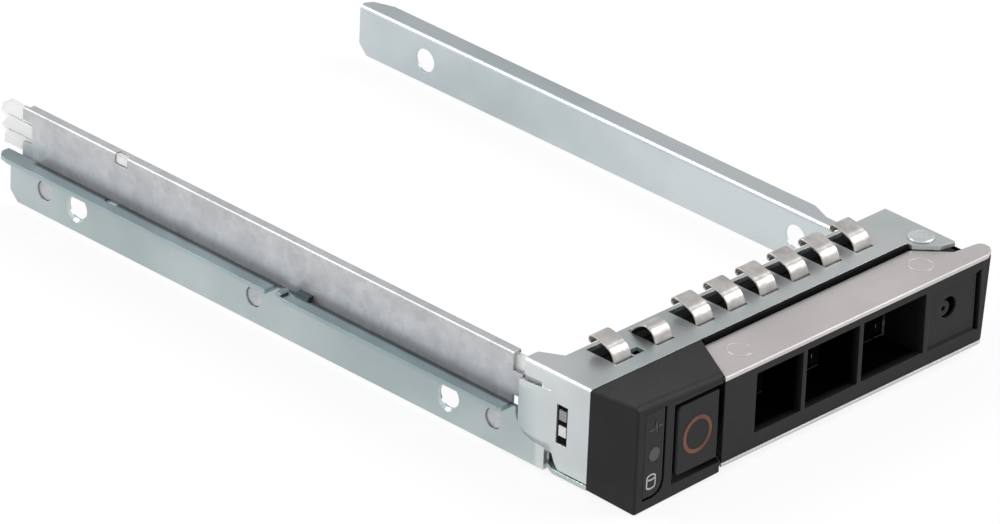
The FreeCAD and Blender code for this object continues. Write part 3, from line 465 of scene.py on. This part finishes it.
finishes = {
    "carrier_frame": frameSteel, "bottom_plate": bottomSteel, "emi_spring_strip": springSteel,
    "light_pipe_cover": coverSteel, "light_pipe": pipeClear, "bezel": bezelPlastic,
    "vent_wall": shadedInnerPlastic, "status_lens": lensPlastic, "status_dot": dotPlastic,
    "pipe_holder": shadedInnerPlastic, "light_guides": guideClear, "release_button": buttonPlastic,
    "button_ring": ringPlastic, "latch_slider": sliderPlastic, "latch_spring": pinSteel,
    "handle_plate": silverPlate, "handle_insert": handlePlastic, "handle_rivets": silverPlate,
    "latch_strike": pinSteel, "hinge_pin": pinSteel, "hinge_washers": pinSteel}


def dressNode(name, material):
    # gives a loaded piece its finish and leaves its shape alone
    piece = nodes[name]
    for slot in piece.material_slots:
        slot.material = material
    if not piece.material_slots:
        piece.data.materials.append(material)


for name, material in finishes.items():
    dressNode(name, material)
print("finishes on", len(finishes), "nodes")


def smoothLine(points, count):
    # a smooth line through points: cubic pieces between them, each blending its two ends and
    # the slopes there, which come from the points before and after
    points = np.asarray(points, float)
    steps = np.concatenate([[0.0], np.cumsum(np.linalg.norm(np.diff(points, axis=0), axis=1))])
    slopes = np.gradient(points, steps, axis=0)
    place = np.linspace(0.0, steps[-1], count)
    spot = np.clip(np.searchsorted(steps, place, side="right") - 1, 0, len(steps) - 2)
    span = (steps[spot + 1] - steps[spot])[:, None]
    t = ((place - steps[spot])[:, None]) / span
    return ((2 * t**3 - 3 * t**2 + 1) * points[spot] + (t**3 - 2 * t**2 + t) * span * slopes[spot]
            + (-2 * t**3 + 3 * t**2) * points[spot + 1] + (t**3 - t**2) * span * slopes[spot + 1])


def sweep(line, side, up, section, closed=False):
    # a section of k points carried along n places: place + side * a + up * b, as an n by k grid;
    # an open line gets a flat cap at each end
    line, side, up, section = (np.asarray(item, float) for item in (line, side, up, section))
    grid = line[:, None] + side[:, None] * section[None, :, :1] + up[:, None] * section[None, :, 1:]
    n, k = grid.shape[:2]
    rows = np.arange(n if closed else n - 1)[:, None]
    cols = np.arange(k)[None, :]
    nextRow, nextCol = (rows + 1) % n, (cols + 1) % k
    quads = np.stack(np.broadcast_arrays(rows * k + cols, rows * k + nextCol,
                                         nextRow * k + nextCol, nextRow * k + cols), -1).reshape(-1, 4)
    caps = [] if closed else [np.arange(k), np.arange((n - 1) * k, n * k)]
    return grid.reshape(-1, 3), quads, caps


def addPiece(name, shapes, material, body, smooth=30.0):
    # joins swept shapes, given in millimetres, into one mesh of closed shells that rides a body
    corners, faces, start = [], [], 0
    for points, quads, caps in shapes:
        corners.append(points)
        faces += (quads + start).tolist() + [(cap + start).tolist() for cap in caps]
        start += len(points)
    mesh = bpy.data.meshes.new(name)
    mesh.from_pydata((np.concatenate(corners) * mm).tolist(), [], faces)
    shell = bmesh.new()
    shell.from_mesh(mesh)
    bmesh.ops.recalc_face_normals(shell, faces=shell.faces)
    shell.to_mesh(mesh)
    shell.free()
    mesh.polygons.foreach_set("use_smooth", [True] * len(mesh.polygons))
    mesh.set_sharp_from_angle(angle=math.radians(smooth))
    mesh.materials.append(material)
    piece = bpy.data.objects.new(name, mesh)
    bpy.context.scene.collection.objects.link(piece)
    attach(piece, body)
    return piece


def softRect(halfWide, halfThick, cut):
    # rectangle with its corners cut off
    a, b = halfWide, halfThick
    return [(-a, b - cut), (-a + cut, b), (a - cut, b), (a, b - cut),
            (a, -b + cut), (a - cut, -b), (-a + cut, -b), (-a, -b + cut)]


# each line is (distance behind the box's front, height); every finger rises the same way, then
# closes in a curled free end, except the second, which dips back into its slot
fingers = dict(
    wide=3.5, thick=0.28, corner=0.07, samples=56,
    first=-26.2, pitchWide=8.4, third=-9.4, pitch=6.64, regular=6,
    rising=[(3.1, 15.35), (3.13, 15.9), (3.3, 16.6), (3.65, 17.35), (4.2, 17.95)],
    closing=[(5.0, 18.37), (6.0, 18.68), (6.9, 18.88), (7.6, 18.93), (8.05, 18.72), (8.2, 18.3),
             (8.05, 17.95), (7.75, 17.88)],
    dipping=[(4.9, 18.3), (5.75, 18.25), (6.6, 17.85), (7.4, 17.2), (8.0, 16.5), (8.3, 15.6)],
    creaseAt=4.6, creaseWide=0.18, creaseDeep=0.03,
    strip=dict(left=-30.2, right=27.8, middle=2.1, high=15.55, halfWide=1.1, halfThick=0.15, corner=0.05))


def fingerShape(centre, points):
    # a flat band bent along its line, and pressed in at its crease by a bell curve: the depth
    # times e to the minus square of the distance from the crease over its width
    line = smoothLine(points, fingers["samples"])
    tangent = np.gradient(line, axis=0)
    tangent /= np.linalg.norm(tangent, axis=1)[:, None]
    normal = np.stack([-tangent[:, 1], tangent[:, 0]], 1)
    fromCrease = (line[:, 0] - fingers["creaseAt"]) / fingers["creaseWide"]
    press = fingers["creaseDeep"] * np.exp(-fromCrease ** 2)
    line = line - normal * press[:, None]
    count = len(line)
    places = np.stack([np.full(count, centre), line[:, 0] + boxFront, line[:, 1]], 1)
    side = np.tile((1.0, 0.0, 0.0), (count, 1))
    up = np.stack([np.zeros(count), normal[:, 0], normal[:, 1]], 1)
    section = softRect(fingers["wide"] / 2, fingers["thick"] / 2, fingers["corner"])
    return sweep(places, side, up, section)


def flatBar(left, right, middle, high, halfWide, halfThick, corner):
    # a straight flat bar along x, given by its middle behind the box's front and its height
    ends = np.array([(left, middle + boxFront, high), (right, middle + boxFront, high)])
    return sweep(ends, [(0, 1, 0)] * 2, [(0, 0, 1)] * 2, softRect(halfWide, halfThick, corner))


def makeFingers():
    # the spring fingers on their strip, in place of the plainer ones of the loaded model
    closed = fingers["rising"] + fingers["closing"]
    dipped = fingers["rising"] + fingers["dipping"]
    second = fingers["first"] + fingers["pitchWide"]
    centres = [fingers["third"] + i * fingers["pitch"] for i in range(fingers["regular"])]
    shapes = [fingerShape(fingers["first"], closed), fingerShape(second, dipped)]
    shapes += [fingerShape(centre, closed) for centre in centres] + [flatBar(**fingers["strip"])]
    piece = addPiece("springFingers", shapes, springSteel, "carrier", smooth=40.0)
    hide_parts("emi_spring_strip")


shadeSheet = dict(left=-30.2, right=29.2, high=14.6, thick=0.2, corner=0.04, strips=[(3.4, 7.5), (7.65, 10.4)])


def makeShadeSheet():
    # dark sheet under the finger slots, painted shade of the carrier's inside, in two strips with a slit
    # between them
    strips = [flatBar(shadeSheet["left"], shadeSheet["right"], (front + rear) / 2, shadeSheet["high"],
                      (rear - front) / 2, shadeSheet["thick"] / 2, shadeSheet["corner"])
              for front, rear in shadeSheet["strips"]]
    addPiece("shelfShadeSheet", strips, shadedInnerPlastic, "carrier")


makeFingers()
makeShadeSheet()
print("spring fingers made")

# places on the status strip; the trace is (across, up) from its middle
marks = dict(
    face=-9.02 + boxFront, thick=0.03, above=0.002,
    diskAcross=-32.55, diskHigh=4.3, diskWide=0.85, diskTall=1.1, lidTall=0.42, diskLine=0.26,
    steps=32, pulseAcross=-31.95, pulseHigh=12.75, pulseLine=0.2,
    pulse=[(-1.3, -0.25), (-0.5, -0.25), (-0.15, 1.0), (0.25, -0.95), (0.55, 0.05), (1.2, 0.05)])


def stroke(points, face, wide, closed=False):
    # a flat line of constant width, just proud of a face that looks along -Y: its places moved
    # half the width to each side of the line's direction, and out by its thickness
    line = np.asarray(points, float)
    if closed:
        line = np.concatenate([line, line[:1]])
    tangent = np.gradient(line, axis=0)
    tangent /= np.linalg.norm(tangent, axis=1)[:, None]
    if closed:
        line, tangent = line[:-1], tangent[:-1]
    places = np.stack([line[:, 0], np.full(len(line), face), line[:, 1]], 1)
    side = np.stack([-tangent[:, 1], np.zeros(len(line)), tangent[:, 0]], 1)
    up = np.tile((0.0, -1.0, 0.0), (len(line), 1))
    half, thick = wide / 2, marks["thick"]
    section = [(-half, 0.0), (-half, thick), (half, thick), (half, 0.0)]
    return sweep(places, side, up, section, closed)


def makeMarks():
    # drive icon: an ellipse for the lid, and half of the same ellipse below it as the barrel's foot
    across, wide, lid = marks["diskAcross"], marks["diskWide"], marks["lidTall"]
    lidHigh = marks["diskHigh"] + marks["diskTall"] - lid
    footHigh = marks["diskHigh"] - marks["diskTall"] + lid
    turn = np.linspace(0.0, 2 * math.pi, marks["steps"] + 1)[:-1]
    lidLine = np.stack([across + wide * np.cos(turn), lidHigh + lid * np.sin(turn)], 1)
    half = np.linspace(math.pi, 2 * math.pi, marks["steps"] // 2 + 1)
    foot = np.stack([across + wide * np.cos(half), footHigh + lid * np.sin(half)], 1)
    barrel = np.concatenate([[(across - wide, lidHigh)], foot, [(across + wide, lidHigh)]])
    shapes = [stroke(lidLine, marks["face"], marks["diskLine"], closed=True),
              stroke(barrel, marks["face"] - marks["above"], marks["diskLine"])]
    addPiece("driveMark", shapes, printInk, "carrier")
    # activity icon: a short trace with one spike
    trace = np.array(marks["pulse"]) + (marks["pulseAcross"], marks["pulseHigh"])
    addPiece("activityMark", [stroke(trace, marks["face"], marks["pulseLine"])],
             dimInk, "carrier")


makeMarks()

# pressed rings round the handle's stakes, and on the hinge pin's head a painted shadow ring and a turned
# ring
stakes = dict(radius=1.9, tube=0.11, spots=[(-10.7, -4.8), (27.4, -4.8)], top=15.6, low=1.12)
pinHead = dict(across=32.6, deep=-0.15, plateTop=16.4, top=16.72, rim=1.93, rimTube=0.08,
               mark=1.05, markTube=0.048)
ringTurns = dict(around=48, section=8, squash=0.8)


def ringShape(centre, radius, tube):
    # a small oval carried round a level circle: centre + outward * (radius + a) + up * b, where
    # a and b run round the oval
    turn = np.linspace(0.0, 2 * math.pi, ringTurns["around"] + 1)[:-1]
    around = np.linspace(0.0, 2 * math.pi, ringTurns["section"] + 1)[:-1]
    section = np.stack([tube * np.cos(around), tube * ringTurns["squash"] * np.sin(around)], 1)
    outward = np.stack([np.cos(turn), np.sin(turn), np.zeros(len(turn))], 1)
    up = np.tile((0.0, 0.0, 1.0), (len(turn), 1))
    return sweep(np.array(centre) + outward * radius, outward, up, section, closed=True)


def makePinRings():
    # a near black ring painted as the shadow where the pin's head meets the plate, and a fine turned ring on
    # the head
    across, deep = pinHead["across"], pinHead["deep"] + boxFront
    addPiece("pinRim", [ringShape((across, deep, pinHead["plateTop"]), pinHead["rim"], pinHead["rimTube"])],
             pinShadowSteel, "carrier", smooth=60.0)
    addPiece("pinTurning", [ringShape((across, deep, pinHead["top"]), pinHead["mark"], pinHead["markTube"])],
             pinSteel, "carrier", smooth=60.0)


def makeStakeRings():
    # a ring round each stake's end, on the upper and the lower plate
    shapes = [ringShape((across, deep + boxFront, high), stakes["radius"], stakes["tube"])
              for across, deep in stakes["spots"] for high in (stakes["top"], stakes["low"])]
    addPiece("stakeRings", shapes, silverPlate, "lever", smooth=60.0)


makeStakeRings()
makePinRings()
print("marks and rings made")

studio = dict(
    floorSize=6.0, floorDrop=0.0002, floorGlow=0.86, floorTone=0.93, floorRough=0.9, worldLight=0.62,
    lamps=dict(keyLamp=dict(spot=(0.80, -0.62, 1.0), size=0.9, watts=9.0),
               fillLamp=dict(spot=(-1.2, -0.2, 0.9), size=1.6, watts=2.2),
               edgeLamp=dict(spot=(-0.62, 0.8, 0.85), size=0.5, watts=6.0)))


def seenDirectly(tree):
    # 1 for camera, mirror and glass rays, so that white stays white without more light
    path = addNode(tree, "ShaderNodeLightPath")
    seen = addMath(tree, "MAXIMUM", path.outputs["Is Camera Ray"], path.outputs["Is Glossy Ray"])
    return addMath(tree, "MAXIMUM", seen, path.outputs["Is Transmission Ray"])


def makeFloor():
    # a pale flat floor that glows for rays that see it directly
    half = studio["floorSize"] / 2
    drop = -studio["floorDrop"]
    mesh = bpy.data.meshes.new("floor")
    mesh.from_pydata([(-half, -half, drop), (half, -half, drop), (half, half, drop), (-half, half, drop)],
                     [], [(0, 1, 2, 3)])
    floor = bpy.data.objects.new("floor", mesh)
    bpy.context.scene.collection.objects.link(floor)
    material, tree, shader = startMaterial("paleFloor")
    feed(tree, (studio["floorTone"],) * 3, shader.inputs["Base Color"])
    setSocket(shader, "Roughness", studio["floorRough"])
    glow = addNode(tree, "ShaderNodeEmission")
    mix = addNode(tree, "ShaderNodeMixShader")
    link(tree, addMath(tree, "MULTIPLY", seenDirectly(tree), studio["floorGlow"]), mix.inputs[0])
    link(tree, shader.outputs[0], mix.inputs[1])
    link(tree, glow.outputs[0], mix.inputs[2])
    link(tree, mix.outputs[0], tree.nodes["Material Output"].inputs["Surface"])
    mesh.materials.append(material)


def makeWorld():
    # white all round, at full strength only where it is seen directly
    world = bpy.data.worlds.new("studio")
    bpy.context.scene.world = world
    world.use_nodes = True
    tree = world.node_tree
    background = tree.nodes["Background"]
    setSocket(background, "Color", (1.0, 1.0, 1.0, 1.0))
    link(tree, addRange(tree, seenDirectly(tree), 0.0, 1.0, studio["worldLight"], 1.0),
         background.inputs["Strength"])


def placeMatrix(side, up, back, spot):
    # a placement whose columns are three directions and a place
    matrix = Matrix.Identity(4)
    for row in range(3):
        matrix[row][0], matrix[row][1] = side[row], up[row]
        matrix[row][2], matrix[row][3] = back[row], spot[row]
    return matrix


def addLamp(name, spot, size, watts):
    # a soft round lamp that looks at the origin
    data = bpy.data.lights.new(name, "AREA")
    data.shape = "DISK"
    data.size = size
    data.energy = watts
    lamp = bpy.data.objects.new(name, data)
    bpy.context.scene.collection.objects.link(lamp)
    back = np.array(spot) / np.linalg.norm(spot)
    side = np.cross(-back, (0.0, 0.0, 1.0))
    side = side / np.linalg.norm(side)
    lamp.matrix_world = placeMatrix(side, np.cross(back, side), back, spot)


makeFloor()
makeWorld()
for lampName, lamp in studio["lamps"].items():
    addLamp(lampName, **lamp)

# a long lens, seen from the left front and above, with its three directions
lookout = dict(
    place=(-0.823519, -0.778239, 0.603052),
    right=(0.6990339, -0.7141185, 0.0372352),
    up=(0.3128190, 0.3522051, 0.8820974),
    back=(-0.6430365, -0.6049681, 0.4695932),
    sensor=36.0, lens=315.753, shift=(0.00246, 0.00737), nearest=0.05, farthest=20.0)


def makeCamera():
    # the scene's own camera
    data = bpy.data.cameras.new("camera")
    data.sensor_fit = "HORIZONTAL"
    data.sensor_width = lookout["sensor"]
    data.lens = lookout["lens"]
    data.shift_x, data.shift_y = lookout["shift"]
    data.clip_start, data.clip_end = lookout["nearest"], lookout["farthest"]
    camera = bpy.data.objects.new("camera", data)
    bpy.context.scene.collection.objects.link(camera)
    camera.matrix_world = placeMatrix(lookout["right"], lookout["up"], lookout["back"], lookout["place"])
    bpy.context.scene.camera = camera


makeCamera()
bpy.context.scene.view_settings.view_transform = "Standard"
print("studio ready")
